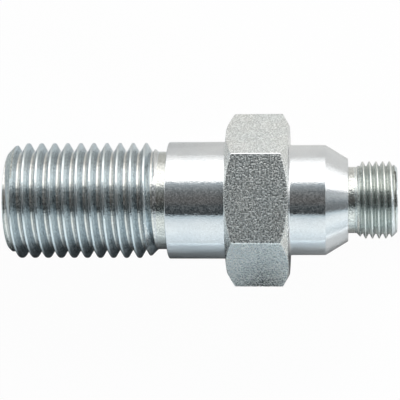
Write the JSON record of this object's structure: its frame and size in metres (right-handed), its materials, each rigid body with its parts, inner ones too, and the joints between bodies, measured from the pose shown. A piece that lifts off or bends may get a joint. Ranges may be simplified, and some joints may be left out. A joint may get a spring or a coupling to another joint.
{
  "type": "male thread adapter",
  "caption": "One-piece zinc-plated steel adapter: coarse male thread, relief, collar, wrench hexagon, coned nose and fine male pipe thread, with a through waterway.",
  "frame": {"origin": "on the axis, at the centre of the large thread's end face", "axes": "+X along the axis from the large thread to the small thread; +Z out of one flat of the hexagon, which is up when the part lies on the opposite flat; +Y through a corner of the hexagon"},
  "size_m": [0.1061, 0.0472, 0.041],
  "materials": {
    "zinc_plated_steel": "bright zinc plate with a faint blue passivation over turned steel, satin and speckled on the hexagon's flats"
  },
  "bodies": {
    "root": {"adapter_body": "zinc_plated_steel"}
  },
  "joints": []
}
